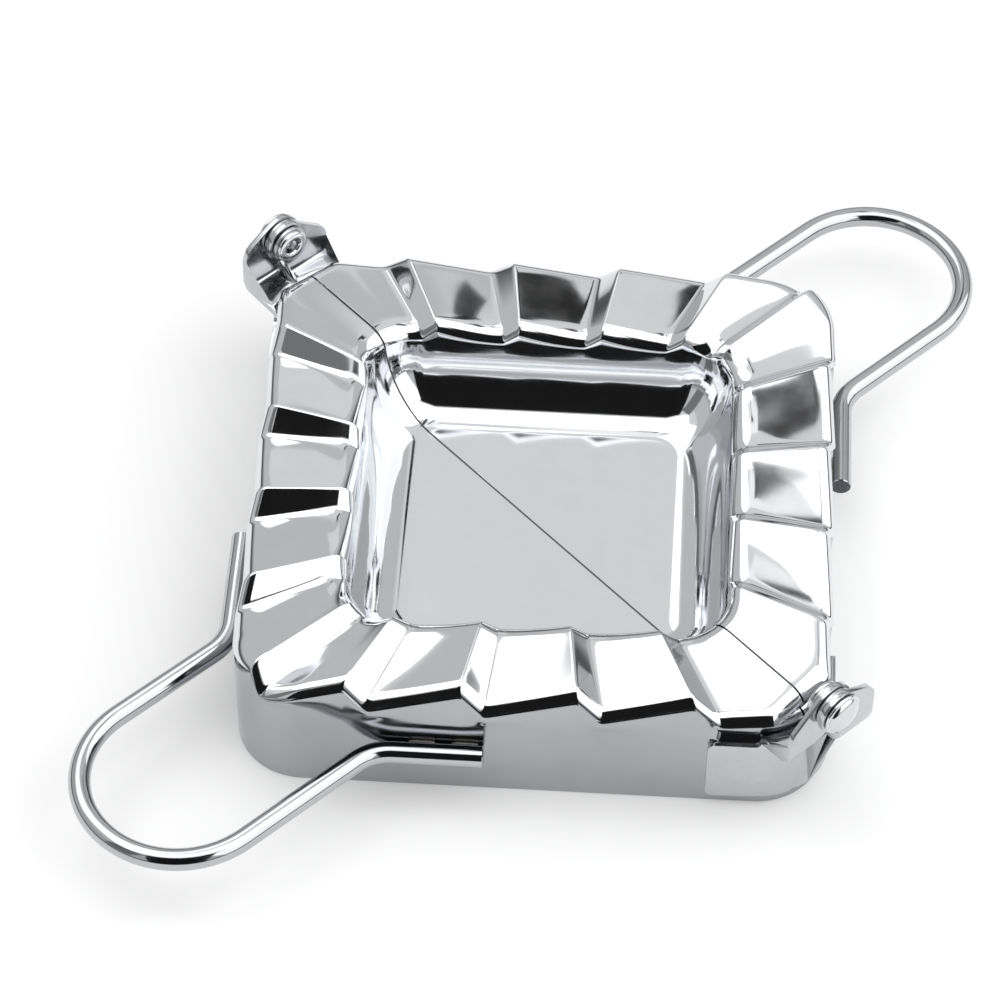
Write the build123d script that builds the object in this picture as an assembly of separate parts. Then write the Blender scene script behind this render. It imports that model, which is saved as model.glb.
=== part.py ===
from build123d import *
from math import acos, asin, cos, degrees, radians, sin, sqrt
import os

os.makedirs("parts", exist_ok=True)

# Square dumpling mold of pressed stainless sheet, opened flat. Millimetres, +Z up.
# The origin is the middle of the square where the two cutter skirts stand on the table.
# Half A is the front left one, half B the back right one. They meet on the diagonal that
# runs from the back left corner to the front right one, and fold up about that diagonal.

# Sheet, and the fits between pieces
sheet = 0.8
split_gap = 0.3
pin_clearance = 0.05
stack_gap = 0.1

# Cutter skirt: the square band that cuts the dough
skirt_half = 40.0
skirt_corner = 9.5
skirt_height = 16.9
shoulder_radius = 1.4
flange_width = 4.5

# Pleated rim of the press plate
pleats_per_side = 4
pleat_rise = 3.0
pleat_drop_run = 3.2
pleat_shift = 1.3
inner_pitch_share = 0.75
crest_inset = 1.3
valley_inset = 0.3
corner_cut = 1.43

# Dish in the middle of the press plate
dish_half = 26.0
dish_corner = 6.7
dish_depth = 12.2
lip_depth = 2.4
lip_draft = 0.6
floor_half = 17.8
floor_corner = 3.0
wall_steps = 5

# Handle loops bent from round wire, one for each half
wire_diameter = 3.0
handle_height = 9.2
handle_half_width = 13.45
handle_bend_radius = 7.0
loop_flat = 0.1
handle_standout = {"a": 26.6, "b": 28.0}
handle_shift = {"a": 1.3, "b": 2.2}
front_leg_end = {"a": 5.8, "b": 5.8}
side_leg_end = {"a": 6.0, "b": 8.9}

# Weld beads between the wire and the wall of the skirt
weld_gap = 0.12
bead_length = 3.6
bead_height = 2.0
bead_wrap_share = 0.4
bead_steps = (0.7, 2.3)

# Small welds that hold the plate on the flange of the skirt
seam_weld_diameter = 2.4
seam_weld_inset = 3.0
seam_weld_lead = 1.8

# Hinge lugs at both ends of the split; dough_gap is left between the crests when shut
dough_gap = 2.6
lug_eye_radius = 3.6
lug_corner_radius = 1.6
lug_strap_offset = 6.5
lug_strap_width = 5.0
lug_strap_drop = 0.6
lug_strap_rise_share = 0.55
lug_foot_length = 6.0
lug_foot_height = 3.9
lug_foot_drop = 0.1

# Hinge rivet: a domed head outside, a rolled hollow end inside, and its washers
rivet_diameter = 3.0
rivet_head_diameter = 7.2
rivet_flange = 0.6
rivet_brim = 1.1
rivet_dome_height = 1.0
rolled_end_brim = 1.1
rolled_end_length = 0.7
rolled_end_clearance = 1.37
rivet_bore_wall = 0.3
rivet_bore_depth = 1.6
washer_thickness = 0.6
washer_diameter = 6.6
clinch_washer_diameter = 5.8

# Heights and places that follow from the sizes above
valley_top = skirt_height + sheet
mid_top = valley_top + pleat_rise / 2
lip_bottom = valley_top - lip_depth
floor_top = mid_top - dish_depth
pleat_pitch = 2 * (skirt_half - crest_inset) / (pleats_per_side + 1)
wire_line = skirt_half + weld_gap + wire_diameter / 2
skirt_tip = sqrt(2) * (skirt_half - skirt_corner) + skirt_corner
pivot_height = valley_top + pleat_rise + dough_gap / 2
rivet_tail = skirt_tip + rolled_end_clearance
clinch_start = rivet_tail + rolled_end_length
inner_lug_start = clinch_start + washer_thickness + stack_gap
washer_start = inner_lug_start + sheet + stack_gap
outer_lug_start = washer_start + washer_thickness + stack_gap
head_start = outer_lug_start + sheet + stack_gap

# Planes of the hinge: across it (x over the split, y up) and along it (x outward, y up)
across_split = Vector(1, 1, 0).normalized()
along_split = Vector(1, -1, 0).normalized()
hinge_section = Plane((0, 0, pivot_height), x_dir=across_split, z_dir=along_split)
hinge_profile = Plane((0, 0, pivot_height), x_dir=along_split, z_dir=-across_split)
hinge_axis = Axis((0, 0, pivot_height), along_split)
half_turn = Rot(0, 0, 180)
across_halves = Plane((0, 0, 0), z_dir=(1, -1, 0))


def square_block(half, corner, bottom, top):
    return Pos(0, 0, bottom) * extrude(RectangleRounded(2 * half, 2 * half, corner), top - bottom)


def front_left_half(solid):
    reach = 4 * skirt_half
    keep = Pos(-(reach + split_gap) / 2, 0, 0) * Box(reach, reach, reach)
    return solid & (Rot(0, 0, 45) * keep)


def on_square(side, along, half, corner):
    # Point on a rounded square: along runs from one corner's diagonal, -half, to the next, +half.
    straight = half - corner
    if abs(along) <= straight:
        x, y = along, -half
    else:
        angle = radians(45) * (abs(along) - straight) / corner
        x = straight + corner * sin(angle)
        y = -straight - corner * cos(angle)
        x = x if along > 0 else -x
    return (y, -x) if side == "left" else (x, y)


def rim_section(side, outer_along, inner_along, level, at_split=False):
    # Vertical slice of the rim along one crease; level is -1 in a valley and +1 on a crest.
    inset = crest_inset + (valley_inset - crest_inset) * (1 - level) / 2
    top = mid_top + level * pleat_rise / 2
    outer = Vector(*on_square(side, outer_along, skirt_half - inset, skirt_corner - inset))
    inner = Vector(*on_square(side, inner_along, dish_half, dish_corner))
    if at_split:
        off = -across_split * split_gap / 2
        reach = skirt_tip - inset - corner_cut
        inner = off + along_split * inner.dot(along_split)
        outer = off + along_split * (reach if side == "front" else -reach)
    lip = inner + (outer - inner).normalized() * sheet
    points = [
        (inner, top), (outer, top), (outer, top - sheet),
        (lip, top - sheet), (lip, lip_bottom), (inner, lip_bottom),
    ]
    return make_face(Polyline([(p.X, p.Y, z) for p, z in points], close=True))


def crest_places():
    # Where the crests of one side lie, at the rim and at the dish.
    first = -pleat_pitch * (pleats_per_side - 1) / 2 - pleat_shift
    outer = [first + pleat_pitch * i for i in range(pleats_per_side)]
    return [(along, along * inner_pitch_share) for along in outer]


def gentle_face(side, start, end, levels, steps=4):
    # Sections inside a broad face that turns a corner, so that the rim follows its outline.
    sections = []
    for i in range(1, steps):
        share = i / steps
        sections.append(rim_section(
            side,
            start[0] + (end[0] - start[0]) * share,
            start[1] + (end[1] - start[1]) * share,
            levels[0] + (levels[1] - levels[0]) * share,
        ))
    return sections


def pleated_rim():
    crests = crest_places()
    drop = (pleat_drop_run, pleat_drop_run * inner_pitch_share)
    valleys = [(outer + drop[0], inner + drop[1]) for outer, inner in crests]
    corner = (skirt_half - crest_inset, dish_half)
    corner_crest = (corner[0] - drop[0] / 2, corner[1] - drop[1] / 2)
    corner_valley = (drop[0] / 2 - corner[0], drop[1] / 2 - corner[1])

    # The hinge corners are cut off square to the split, from this place on the outline.
    inset = (crest_inset + valley_inset) / 2
    radius = skirt_corner - inset
    turn = degrees(acos((radius - corner_cut) / radius))
    trimmed = (skirt_half - inset - radius * turn / 45, dish_half - split_gap)
    trimmed_level = 0.2
    first_trimmed = (-trimmed[0], -trimmed[1])

    sections = [rim_section("left", -skirt_half, -dish_half, 0, at_split=True)]
    sections.append(rim_section("left", *first_trimmed, trimmed_level))
    sections += gentle_face("left", first_trimmed, crests[0], (trimmed_level, 1))
    for side in ("left", "front"):
        for crest, valley in zip(crests, valleys):
            sections.append(rim_section(side, *crest, 1))
            sections.append(rim_section(side, *valley, -1))
        if side == "left":
            sections += gentle_face("left", valleys[-1], corner_crest, (-1, 1))
            sections.append(rim_section("left", *corner_crest, 1))
            sections.append(rim_section("front", *corner_valley, -1))
            sections += gentle_face("front", corner_valley, crests[0], (-1, 1))
    sections += gentle_face("front", valleys[-1], trimmed, (-1, -trimmed_level))
    sections.append(rim_section("front", *trimmed, -trimmed_level))
    sections.append(rim_section("front", skirt_half, dish_half, 0, at_split=True))
    return loft(sections, ruled=True)


def dish(grow):
    # The dish as a solid; grow = 0 gives its hollow and grow = sheet its outside.
    wall_rise = lip_bottom - floor_top
    wall_spread = dish_half - lip_draft - floor_half
    rings = []
    for i in range(wall_steps + 1):
        angle = radians(90 * i / wall_steps)
        half = floor_half + (wall_spread + grow) * sin(angle)
        corner = floor_corner + (dish_corner - floor_corner + grow) * sin(angle)
        height = lip_bottom - (wall_rise + grow) * cos(angle)
        rings.append(Pos(0, 0, height) * RectangleRounded(2 * half, 2 * half, corner))
    # The wall ends half way up the upright lip that the rim brings with it.
    half = dish_half + grow
    wall_top = (lip_bottom + skirt_height) / 2
    rings.append(Pos(0, 0, wall_top) * RectangleRounded(2 * half, 2 * half, dish_corner + grow))
    return loft(rings, ruled=True)


def press_plate():
    bowl = dish(sheet) - dish(0)
    return pleated_rim() + front_left_half(bowl)


def cutter_skirt():
    outside = square_block(skirt_half, skirt_corner, 0, skirt_height)
    outside = fillet(outside.edges().group_by(Axis.Z)[-1], shoulder_radius)
    inner_half = skirt_half - sheet
    inside = square_block(inner_half, skirt_corner - sheet, -sheet, skirt_height - sheet)
    inside = fillet(inside.edges().group_by(Axis.Z)[-1], shoulder_radius - sheet)
    opening_half = skirt_half - flange_width
    opening = square_block(opening_half, skirt_corner - flange_width, 0, 2 * skirt_height)
    return front_left_half(outside - inside - opening)


def handle_path(half):
    left = handle_shift[half] - handle_half_width
    right = handle_shift[half] + handle_half_width
    reach = skirt_tip + handle_standout[half]

    def place(offset):
        return (offset - reach) / sqrt(2), (-offset - reach) / sqrt(2), handle_height

    points = [
        (-wire_line, -side_leg_end[half], handle_height),
        (-wire_line, -wire_line - sqrt(2) * left, handle_height),
        place(left),
        place(right),
        (-wire_line + sqrt(2) * right, -wire_line, handle_height),
        (-front_leg_end[half], -wire_line, handle_height),
    ]
    loop_radius = handle_half_width - loop_flat / 2
    radii = [handle_bend_radius, loop_radius, loop_radius, handle_bend_radius]
    return FilletPolyline(*points, radius=radii)


def handle_wire(half):
    path = handle_path(half)
    start = Plane(path @ 0, z_dir=path % 0)
    return sweep(start * Circle(wire_diameter / 2), path=path)


def handle_welds(half, wire):
    # Two beads on each straight leg, filling the wedge between the wire and the wall.
    depth = weld_gap + wire_diameter * bead_wrap_share
    off_wall = -skirt_half - depth / 2
    bead = Box(depth, bead_length, bead_height)
    beads = []
    for step in bead_steps:
        side_along = -side_leg_end[half] - step * bead_length
        front_along = -front_leg_end[half] - step * bead_length
        beads.append(Pos(off_wall, side_along, handle_height) * bead - wire)
        beads.append(Pos(front_along, off_wall, handle_height) * Rot(0, 0, 90) * bead - wire)
    return Compound([solid for cut in beads for solid in cut.solids()])


def seam_welds(plate):
    # Beads between the flange and the plate, just past each valley.
    line = skirt_half - seam_weld_inset
    share = (line - dish_half) / (skirt_half - crest_inset - dish_half)
    post = extrude(Circle(seam_weld_diameter / 2), pleat_rise / 2)
    welds = []
    for outer, inner in crest_places():
        along = inner + (outer - inner) * share + pleat_drop_run + seam_weld_lead
        for x, y in ((along, -line), (-line, -along)):
            bead = Pos(x, y, skirt_height) * post - plate
            welds.append(bead.solids().sort_by(Axis.Z)[0])
    return Compound(welds)


def hinge_lug(start):
    # Front right lug of half A: a foot on the front wall, a strap outward and an eye.
    foot_top = skirt_height - lug_foot_drop - shoulder_radius
    foot_bottom = foot_top - lug_foot_height
    bend = skirt_half + sheet / 2 - lug_strap_offset * sqrt(2)
    foot_middle = bend - lug_foot_length / 2 + sheet / 4
    foot = Pos(foot_middle, -skirt_half - sheet / 2, (foot_top + foot_bottom) / 2)
    foot = foot * Box(lug_foot_length + sheet / 2, sheet, lug_foot_height)

    # Heights of the strap and the eye are measured from the pivot.
    strap_start = (2 * skirt_half + sheet) / sqrt(2) - lug_strap_offset
    eye_end = start + sheet
    level_from = strap_start + (eye_end - strap_start) * lug_strap_rise_share
    strap_bottom = -lug_strap_drop - lug_strap_width
    side = Polygon(
        (strap_start, foot_bottom - pivot_height), (level_from, strap_bottom),
        (eye_end, strap_bottom), (eye_end, -lug_strap_drop), (level_from, -lug_strap_drop),
        (strap_start, foot_top - pivot_height), align=None,
    )
    strap = extrude(hinge_profile.offset(lug_strap_offset - sheet / 2) * side, sheet)

    edge = -lug_strap_offset - sheet / 2 + lug_corner_radius
    corner = Circle(lug_corner_radius)
    discs = Circle(lug_eye_radius) + Pos(edge, -lug_strap_drop - lug_corner_radius) * corner
    discs += Pos(edge, strap_bottom + lug_corner_radius) * corner
    eye = make_hull(discs.edges()) - Circle(rivet_diameter / 2 + pin_clearance)
    return foot + strap + extrude(hinge_section.offset(start) * eye, sheet)


def ring(start, length, diameter):
    hole = Circle(rivet_diameter / 2 + pin_clearance)
    return extrude(hinge_section.offset(start) * (Circle(diameter / 2) - hole), length)


def rivet():
    shank = rivet_diameter / 2
    bore = shank - rivet_bore_wall
    rolled = shank + rolled_end_brim
    head = rivet_head_diameter / 2
    bore_end = rivet_tail + rivet_bore_depth
    dome_base = head_start + rivet_flange
    dome_half = head - rivet_brim
    outline = Polyline(
        (bore_end, 0), (bore_end, bore), (rivet_tail, bore),
        (rivet_tail, rolled - rolled_end_length / 2), (rivet_tail + rolled_end_length / 2, rolled),
        (clinch_start, rolled), (clinch_start, shank), (head_start, shank),
        (head_start, head), (dome_base, head), (dome_base, dome_half),
    )
    dome_radius = (dome_half ** 2 + rivet_dome_height ** 2) / (2 * rivet_dome_height)
    dome_turn = asin(dome_half / dome_radius) / 2
    dome_middle = dome_base + rivet_dome_height - dome_radius * (1 - cos(dome_turn))
    dome = ThreePointArc(
        (dome_base, dome_half),
        (dome_middle, dome_radius * sin(dome_turn)),
        (dome_base + rivet_dome_height, 0),
    )
    close = Line(dome @ 1, outline @ 0)
    return revolve(hinge_profile * make_face(outline + dome + close), hinge_axis)


plate = press_plate()
skirt = cutter_skirt()
plate_welds = seam_welds(plate)
wires = {half: handle_wire(half) for half in ("a", "b")}
wire_welds = {half: handle_welds(half, wires[half]) for half in ("a", "b")}
inner_lug = hinge_lug(inner_lug_start)
outer_lug = mirror(hinge_lug(outer_lug_start), about=across_halves)
right_rivet = rivet()
right_washer = ring(washer_start, washer_thickness, washer_diameter)
right_clinch = ring(clinch_start, washer_thickness, clinch_washer_diameter)

nodes = {
    "press_plate_a": plate,
    "cutter_skirt_a": skirt,
    "seam_welds_a": plate_welds,
    "handle_wire_a": wires["a"],
    "handle_welds_a": wire_welds["a"],
    "hinge_lug_a_right": inner_lug,
    "hinge_lug_a_left": outer_lug,
    "press_plate_b": half_turn * plate,
    "cutter_skirt_b": half_turn * skirt,
    "seam_welds_b": half_turn * plate_welds,
    "handle_wire_b": half_turn * wires["b"],
    "handle_welds_b": half_turn * wire_welds["b"],
    "hinge_lug_b_left": half_turn * inner_lug,
    "hinge_lug_b_right": half_turn * outer_lug,
    "hinge_rivet_right": right_rivet,
    "hinge_rivet_left": half_turn * right_rivet,
    "hinge_washer_right": right_washer,
    "hinge_washer_left": half_turn * right_washer,
    "clinch_washer_right": right_clinch,
    "clinch_washer_left": half_turn * right_clinch,
}
for name, shape in nodes.items():
    export_step(shape, f"parts/{name}.step")
    print(name, len(shape.solids()), round(shape.volume, 2))
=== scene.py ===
import random
from math import acos, atan2, cos, degrees, pi, radians, sin, sqrt, tan

import bmesh
import bpy
from mathutils import Matrix, Vector
from mathutils.geometry import delaunay_2d_cdt


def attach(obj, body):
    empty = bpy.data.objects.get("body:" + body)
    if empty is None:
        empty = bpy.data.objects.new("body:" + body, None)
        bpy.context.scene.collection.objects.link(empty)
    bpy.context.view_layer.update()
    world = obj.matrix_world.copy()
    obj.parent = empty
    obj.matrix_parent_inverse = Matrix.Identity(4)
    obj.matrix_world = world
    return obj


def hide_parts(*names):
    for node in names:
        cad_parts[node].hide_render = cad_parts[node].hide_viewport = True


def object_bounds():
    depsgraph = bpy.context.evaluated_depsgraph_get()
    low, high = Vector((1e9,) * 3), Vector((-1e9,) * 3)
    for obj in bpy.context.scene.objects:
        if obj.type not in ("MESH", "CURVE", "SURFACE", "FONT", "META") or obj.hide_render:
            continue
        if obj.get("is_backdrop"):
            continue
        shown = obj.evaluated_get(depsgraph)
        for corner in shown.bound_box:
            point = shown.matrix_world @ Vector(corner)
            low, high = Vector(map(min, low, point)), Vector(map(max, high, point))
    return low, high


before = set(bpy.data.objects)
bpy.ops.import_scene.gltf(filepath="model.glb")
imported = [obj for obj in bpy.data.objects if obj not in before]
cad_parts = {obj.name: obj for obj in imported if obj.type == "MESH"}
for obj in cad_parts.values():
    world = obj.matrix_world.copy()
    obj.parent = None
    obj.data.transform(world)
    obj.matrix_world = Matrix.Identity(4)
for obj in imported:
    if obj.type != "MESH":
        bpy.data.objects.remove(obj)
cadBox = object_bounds()
print("frame loaded:", len(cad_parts), "nodes")

# A folding dumpling mold of stainless sheet. Sizes below are in millimetres in the frame of
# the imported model: half A is the front left one, half B is the same turned half a turn.
mm = 0.001
halves = {"a": 1, "b": -1}  # the sign that x and y get in each half
sheet = 0.8
splitGap = 0.3
splitAcross = Vector((1, 1, 0)).normalized()   # from half A over the split to half B
splitAlong = Vector((1, -1, 0)).normalized()   # from the back left hinge to the front right one
creases = {"sheet": 35, "stamping": 40, "weld": 40, "turned": 50}   # sharper edges stay hard


# Small helpers

def toLinear(hexColour):
    channels = [int(hexColour[i:i + 2], 16) / 255 for i in (1, 3, 5)]
    return [c / 12.92 if c <= 0.04045 else ((c + 0.055) / 1.055) ** 2.4 for c in channels] + [1.0]


def bareTree(owner):
    # The emptied node tree of a material or a world.
    owner.use_nodes = True
    owner.node_tree.nodes.clear()
    return owner.node_tree


def addNode(tree, kind, settings=None, links=None):
    # A setting is one of the node's own or an input's value. A link comes from a socket, or from
    # the first output of a node.
    node = tree.nodes.new(kind)
    for key, value in (settings or {}).items():
        if isinstance(key, str) and hasattr(node, key):
            setattr(node, key, value)
        else:
            node.inputs[key].default_value = value
    for key, source in (links or {}).items():
        socket = source.outputs[0] if isinstance(source, bpy.types.Node) else source
        tree.links.new(socket, node.inputs[key])
    return node


def addChain(tree, values, steps):
    # One math node for each step, which is (result, operation, inputs...). An input that is text is
    # the name of a value known so far, and each result joins the values under its own name.
    for result, operation, *inputs in steps:
        settings = {key: put for key, put in enumerate(inputs) if not isinstance(put, str)}
        links = {key: values[put] for key, put in enumerate(inputs) if isinstance(put, str)}
        values[result] = addNode(tree, "ShaderNodeMath", {"operation": operation, **settings}, links)


def smoothOver(mesh, crease):
    # Smooth shading, with hard edges where faces meet at more than the crease, in degrees.
    mesh.shade_smooth()
    mesh.set_sharp_from_angle(angle=radians(crease))


def lineMesh(name, points, lines):
    mesh = bpy.data.meshes.new(name)
    mesh.from_pydata([[v * mm for v in p] for p in points], lines, [])
    return mesh


def makeMesh(name, points, faces, crease):
    mesh = bpy.data.meshes.new(name)
    mesh.from_pydata([[v * mm for v in p] for p in points], [], faces)
    smoothOver(mesh, crease)
    mesh.validate()
    return mesh


def addObject(name, data):
    made = bpy.data.objects.new(name, data)
    bpy.context.scene.collection.objects.link(made)
    return made


def finishPiece(piece, half, node):
    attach(piece, "half_" + half)
    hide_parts(node)


def newTree(name, *sizes):
    # A geometry tree with named sizes; returns the tree and its inputs by name.
    tree = bpy.data.node_groups.new(name, "GeometryNodeTree")
    tree.interface.new_socket("Geometry", in_out="INPUT", socket_type="NodeSocketGeometry")
    tree.interface.new_socket("Geometry", in_out="OUTPUT", socket_type="NodeSocketGeometry")
    for size in sizes:
        tree.interface.new_socket(size, in_out="INPUT", socket_type="NodeSocketFloat")
    return tree, dict(addNode(tree, "NodeGroupInput").outputs.items())


def endTree(tree, geometry, finish):
    realized = addNode(tree, "GeometryNodeRealizeInstances", links={"Geometry": geometry})
    painted = addNode(tree, "GeometryNodeSetMaterial", {"Material": finish}, {"Geometry": realized})
    addNode(tree, "NodeGroupOutput", links={0: painted})


def evaluatedMesh(piece):
    depsgraph = bpy.context.evaluated_depsgraph_get()
    return bpy.data.meshes.new_from_object(piece.evaluated_get(depsgraph))


def runTree(piece, tree, sizes):
    # Runs the tree once on the piece and leaves a plain mesh.
    modifier = piece.modifiers.new(tree.name, "NODES")
    modifier.node_group = tree
    for item in tree.interface.items_tree:
        if item.name in sizes:
            modifier[item.identifier] = float(sizes[item.name])
    mesh = evaluatedMesh(piece)
    piece.modifiers.remove(modifier)
    smoothOver(mesh, creases["sheet"])
    piece.data = mesh
    return piece


def ringPoint(travel, half, corner):
    # A point on a rounded square; travel is 0 at the front left corner, falls to -2 half at the
    # back left one and rises to 2 half at the front right one.
    along = travel + half if travel < 0 else travel - half
    straight = half - corner
    if abs(along) <= straight or corner == 0:
        x, y = along, -half
    else:
        angle = radians(45) * (abs(along) - straight) / corner
        x = (straight + corner * sin(angle)) * (1 if along > 0 else -1)
        y = -straight - corner * cos(angle)
    return Vector((y, -x, 0)) if travel < 0 else Vector((x, y, 0))


def keepOffSplit(point):
    over = point.dot(splitAcross) + splitGap / 2
    return point - splitAcross * over if over > 0 else point


# Finishes

finishes = {
    # Deep-drawn 304 stainless, mirror polished on the wheel: near mirror, softly wavy reflections
    # where the press stretched it, and a breath of haze from the polishing paste.
    "mirrorPolishedStainless": {
        "colour": "#e0e1e3", "worn": "#d6d8db", "roughness": (0.055, 0.09), "hazeRoughness": 0.14,
        "wave": 11.0, "waveDepth": 0.022, "grain": (0.25, 0.25, 0.25), "grainDepth": 0.0002,
    },
    # Cold-rolled stainless strip, left as rolled and lightly buffed: a greyer, softer mirror with
    # fine lines along the roll.
    "coldRolledStainlessStrip": {
        "colour": "#b0b2b5", "worn": "#a4a6aa", "roughness": (0.09, 0.15),
        "wave": 18.0, "waveDepth": 0.014, "grain": (2.5, 2.5, 0.12), "grainDepth": 0.0005,
    },
    # Cold-drawn stainless wire, bright from the die: a hard bright line down the middle and faint
    # drawing lines.
    "coldDrawnStainlessWire": {
        "colour": "#bfc0c2", "worn": "#b3b5b8", "roughness": (0.07, 0.13),
        "wave": 9.0, "waveDepth": 0.006, "grain": (0.3, 0.3, 0.3), "grainDepth": 0.0004,
    },
    # Stamped stainless tabs, tumbled after the press: edges soft, faces slightly cloudy.
    "tumbledStainlessStamping": {
        "colour": "#c6c8ca", "worn": "#b8babd", "roughness": (0.12, 0.20),
        "wave": 5.0, "waveDepth": 0.008, "grain": (0.2, 0.2, 0.2), "grainDepth": 0.0006,
    },
    # Nickel-plated steel rivet, clinched by a rolling tool: bright with fine turning marks.
    "platedRivetSteel": {
        "colour": "#dadbdc", "worn": "#c9cbce", "roughness": (0.08, 0.16),
        "wave": 3.0, "waveDepth": 0.006, "grain": (0.15, 0.15, 0.15), "grainDepth": 0.0005,
    },
    # Plain stamped steel washers, duller than the rivet.
    "stampedWasherSteel": {
        "colour": "#c9cacc", "worn": "#b4b6b9", "roughness": (0.18, 0.28),
        "wave": 3.0, "waveDepth": 0.006, "grain": (0.15, 0.15, 0.15), "grainDepth": 0.0008,
    },
    # Weld metal, left as welded: rough, with a trace of brown heat tint; its dark grey is painted shade.
    "heatTintAndShadeWeldMetal": {
        "colour": "#6b6a68", "worn": "#5a544c", "roughness": (0.30, 0.45),
        "wave": 1.2, "waveDepth": 0.02, "grain": (0.12, 0.12, 0.12), "grainDepth": 0.002,
    },
    # Sheared end of the wire: dull, torn grain that takes no reflection.
    "shearedWireEnd": {
        "colour": "#6d6f74", "worn": "#4d4f54", "roughness": (0.38, 0.55),
        "wave": 1.0, "waveDepth": 0.01, "grain": (0.1, 0.1, 0.1), "grainDepth": 0.004,
    },
}

hazeShare = 0.4            # how wide the patches of haze are, beside the waves
hazeRange = (0.3, 0.7)     # the part of the noise's 0 to 1 in which the roughness changes


def makeFinish(name, finish):
    material = bpy.data.materials.new(name)
    tree = bareTree(material)
    place = addNode(tree, "ShaderNodeTexCoord").outputs["Object"]
    stretch = [1 / (s * mm) for s in finish["grain"]]
    grainPlace = addNode(tree, "ShaderNodeMapping", {"Scale": stretch}, {"Vector": place})
    grain = addNode(tree, "ShaderNodeTexNoise", {"Scale": 1.0, "Detail": 3.0}, {"Vector": grainPlace})
    settings = {"Scale": 1 / (finish["wave"] * mm), "Detail": 1.0, "Roughness": 0.35}
    waves = addNode(tree, "ShaderNodeTexNoise", settings, {"Vector": place})
    settings = {"Scale": 1 / (finish["wave"] * hazeShare * mm), "Detail": 4.0, "Roughness": 0.6}
    haze = addNode(tree, "ShaderNodeTexNoise", settings, {"Vector": place})
    colour = addNode(
        tree, "ShaderNodeMix",
        {"data_type": "RGBA", 6: toLinear(finish["colour"]), 7: toLinear(finish["worn"])},
        {0: haze},
    )
    smoothest, roughest = finish["roughness"]
    dull = addNode(
        tree, "ShaderNodeMapRange",
        {"From Min": hazeRange[0], "From Max": hazeRange[1], "To Min": smoothest, "To Max": roughest},
        {"Value": haze},
    )
    unpolished = addNode(tree, "ShaderNodeAttribute", {"attribute_name": "haze"})
    dull = addNode(
        tree, "ShaderNodeMath", {"operation": "MULTIPLY_ADD", 1: finish.get("hazeRoughness", 0)},
        {0: unpolished.outputs["Fac"], 2: dull},
    )
    depth = {"Strength": 1.0, "Distance": finish["waveDepth"] * mm}
    waveBump = addNode(tree, "ShaderNodeBump", depth, {"Height": waves})
    depth["Distance"] = finish["grainDepth"] * mm
    grainBump = addNode(tree, "ShaderNodeBump", depth, {"Height": grain, "Normal": waveBump})
    surface = addNode(
        tree, "ShaderNodeBsdfPrincipled", {"Metallic": 1.0},
        {"Base Color": colour.outputs[2], "Roughness": dull, "Normal": grainBump},
    )
    addNode(tree, "ShaderNodeOutputMaterial", links={"Surface": surface})
    return material


metals = {name: makeFinish(name, finish) for name, finish in finishes.items()}
print("finishes made:", len(metals))


# Press plates: the pleated rim and the dish, pressed from one sheet

plateSizes = {
    "outerHalf": 39.2, "outerCorner": 8.7, "hingeCut": 50.4,    # outline at mid height, its cut corner
    "innerHalf": 26.0, "innerCorner": 6.7, "innerShare": 0.75,  # dish mouth; pleats are tighter there
    "middle": 19.2, "pleats": 4, "pitch": 15.48, "shift": 1.3, "dropRun": 3.2,
    "rise": 3.0, "insetSwing": 0.45, "crestRound": 0.30, "valleyRound": 0.60,
    "bow": 0.80, "bowSpread": 0.12, "endBow": 0.3, "seed": 7,   # how hollow a broad face is at the dish
    "rollWidth": 2.2, "rollDepth": 2.6, "rollTurn": 28, "rollOut": 0.75,
    "lipLift": 0.58, "lipRound": 2.4, "lipTurn": 12, "waveDepth": 4.0,
    "floorHalf": 17.8, "floorCorner": 3.0, "floorTop": 7.0, "hazeDepth": 0.35,
    "rows": {"roll": 12, "rim": 10, "lip": 12, "wall": 36, "floor": (1, 0.9, 0.7, 0.45, 0.2)},
    "columns": {"steep": 14, "broad": 30, "end": 28},           # across the faces of a pleat
}


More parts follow.
